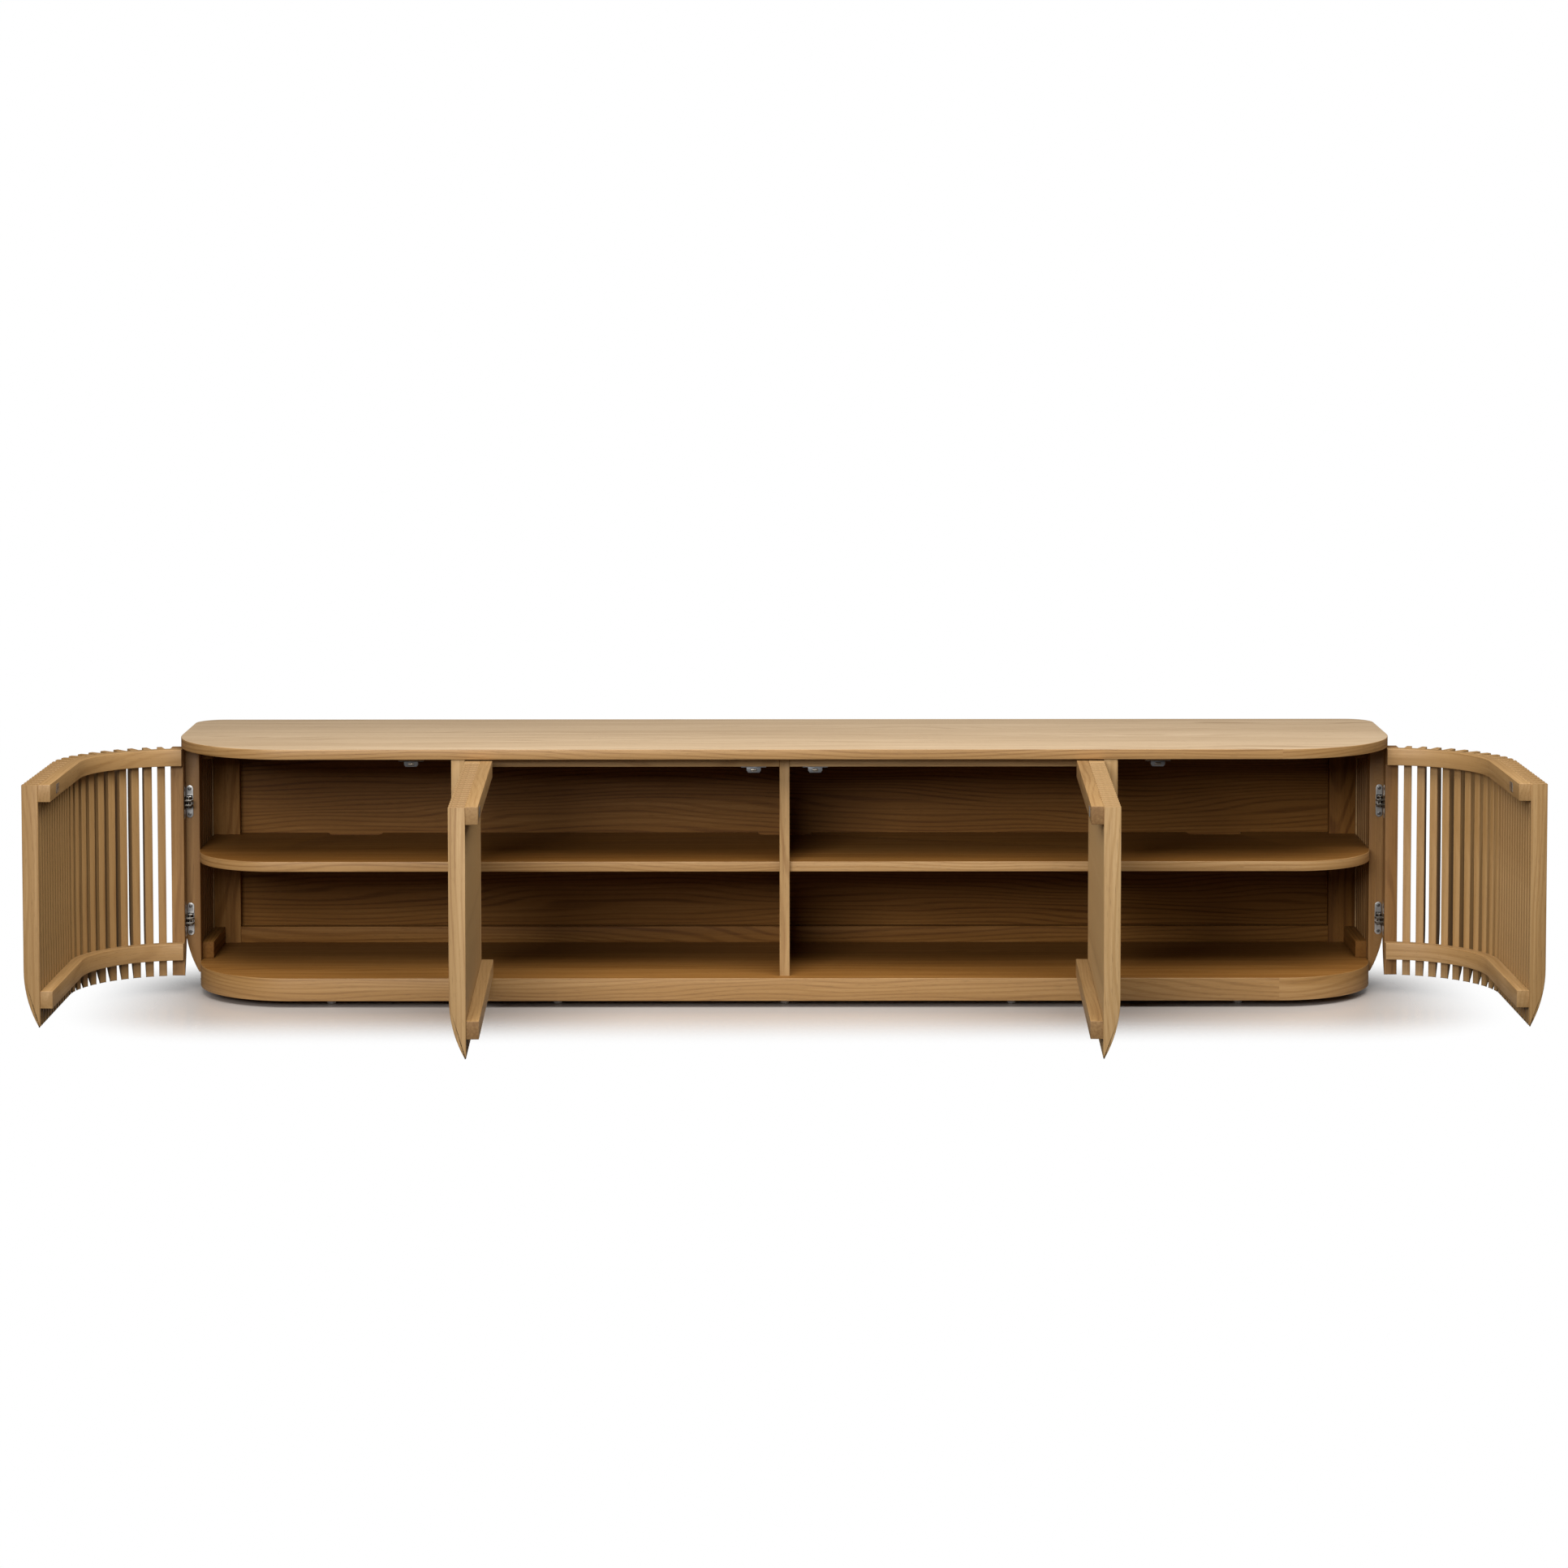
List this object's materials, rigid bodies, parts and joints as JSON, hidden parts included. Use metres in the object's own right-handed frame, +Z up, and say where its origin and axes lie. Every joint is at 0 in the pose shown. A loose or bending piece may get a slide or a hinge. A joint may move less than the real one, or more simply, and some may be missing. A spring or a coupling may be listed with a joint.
{
  "type": "media cabinet",
  "caption": "Long low media cabinet with rounded front corners, slatted doors that follow the corners, a centre partition, shelves and a panel plinth on small glides.",
  "frame": {"origin": "on the floor under the middle of the whole object as it stands with its doors open", "axes": "+X along the cabinet to the right as seen from the front, +Y from the open front to the back, +Z up"},
  "size_m": [2.6, 1.0012, 0.469],
  "materials": {
    "oak_top": "matt lacquered oak veneer, light",
    "oak_veneer": "matt lacquered oak veneer",
    "oak_solid": "matt lacquered solid oak",
    "hinge_metal": "satin nickel",
    "catch_grey": "satin grey",
    "glide_white": "matt"
  },
  "bodies": {
    "cabinet": {"top_panel": "oak_top", "base_panel": "oak_veneer", "back_panel": "oak_veneer", "back_rail_bottom": "oak_veneer", "back_rail_top": "oak_veneer", "centre_partition": "oak_veneer", "shelf_left": "oak_veneer", "rear_corner_post_left": "oak_solid", "side_grille_left": "oak_solid", "hinge_post_left": "oak_solid", "mid_post_left": "oak_solid", "hinge_post_cup_outer_left_upper": "hinge_metal", "hinge_post_cup_inner_left_upper": "hinge_metal", "hinge_post_cup_outer_left_lower": "hinge_metal", "hinge_post_cup_inner_left_lower": "hinge_metal", "catch_rail_left": "oak_solid", "catch_inner_left": "catch_grey", "catch_outer_left": "catch_grey", "shelf_right": "oak_veneer", "rear_corner_post_right": "oak_solid", "side_grille_right": "oak_solid", "hinge_post_right": "oak_solid", "mid_post_right": "oak_solid", "hinge_post_cup_outer_right_upper": "hinge_metal", "hinge_post_cup_inner_right_upper": "hinge_metal", "hinge_post_cup_outer_right_lower": "hinge_metal", "hinge_post_cup_inner_right_lower": "hinge_metal", "catch_rail_right": "oak_solid", "catch_inner_right": "catch_grey", "catch_outer_right": "catch_grey", "glide_front_1": "glide_white", "glide_front_2": "glide_white", "glide_front_3": "glide_white", "glide_front_4": "glide_white", "glide_front_5": "glide_white", "glide_back_1": "glide_white", "glide_back_2": "glide_white", "glide_back_3": "glide_white", "glide_back_4": "glide_white", "glide_back_5": "glide_white"},
    "door_outer_left": {"door_outer_left_grille": "oak_solid", "door_outer_left_hinge_stile": "oak_solid", "door_outer_left_striker": "catch_grey", "door_outer_left_hinge_cup_upper": "hinge_metal", "door_outer_left_hinge_cup_lower": "hinge_metal"},
    "door_outer_right": {"door_outer_right_grille": "oak_solid", "door_outer_right_hinge_stile": "oak_solid", "door_outer_right_striker": "catch_grey", "door_outer_right_hinge_cup_upper": "hinge_metal", "door_outer_right_hinge_cup_lower": "hinge_metal"},
    "door_inner_left": {"door_inner_left_grille": "oak_solid", "door_inner_left_hinge_stile": "oak_solid", "door_inner_left_striker": "catch_grey", "door_inner_left_hinge_cup_upper": "hinge_metal", "door_inner_left_hinge_cup_lower": "hinge_metal"},
    "door_inner_right": {"door_inner_right_grille": "oak_solid", "door_inner_right_hinge_stile": "oak_solid", "door_inner_right_striker": "catch_grey", "door_inner_right_hinge_cup_upper": "hinge_metal", "door_inner_right_hinge_cup_lower": "hinge_metal"}
  },
  "joints": [
    {"name": "outer_left_swing", "type": "hinge", "parent": "cabinet", "child": "door_outer_left", "pos_m": [-1.0985, 0.2674, 0.24], "axis": [0, 0, 1], "range_deg": [-89.8, 90.2]},
    {"name": "outer_right_swing", "type": "hinge", "parent": "cabinet", "child": "door_outer_right", "pos_m": [1.0985, 0.2674, 0.24], "axis": [0, 0, -1], "range_deg": [-89.8, 90.2]},
    {"name": "inner_left_swing", "type": "hinge", "parent": "cabinet", "child": "door_inner_left", "pos_m": [-0.56925, 0.0661, 0.24], "axis": [0, 0, 1], "range_deg": [-91.6, 88.4]},
    {"name": "inner_right_swing", "type": "hinge", "parent": "cabinet", "child": "door_inner_right", "pos_m": [0.56925, 0.0661, 0.24], "axis": [0, 0, -1], "range_deg": [-91.6, 88.4]}
  ]
}
